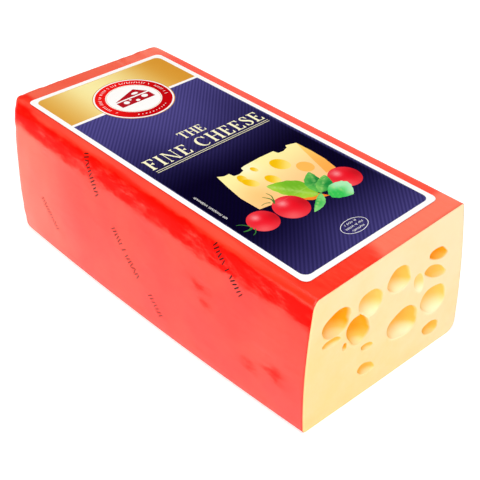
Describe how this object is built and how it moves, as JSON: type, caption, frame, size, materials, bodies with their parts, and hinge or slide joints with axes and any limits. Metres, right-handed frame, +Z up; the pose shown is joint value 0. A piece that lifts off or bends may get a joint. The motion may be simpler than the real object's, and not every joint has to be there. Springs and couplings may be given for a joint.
{
  "type": "cheese block",
  "caption": "Rectangular block of Emmental-type cheese in tight red film with a paper label on top, cut open at one end to show its eyes.",
  "frame": {"origin": "on the surface the block stands on, under the middle of its bounding box", "axes": "+X along the block towards the cut face, +Y towards its back long side, +Z up out of the label"},
  "size_m": [0.2608, 0.1292, 0.0903],
  "materials": {
    "cheese": "pale yellow cut cheese, slightly waxy, with deeper yellow glossy eyes",
    "red_film": "tight glossy red shrink film",
    "label_paper": "coated paper printed navy and gold with a white border"
  },
  "bodies": {
    "root": {"cheese_block": "cheese", "red_film": "red_film", "label": "label_paper"}
  },
  "joints": []
}
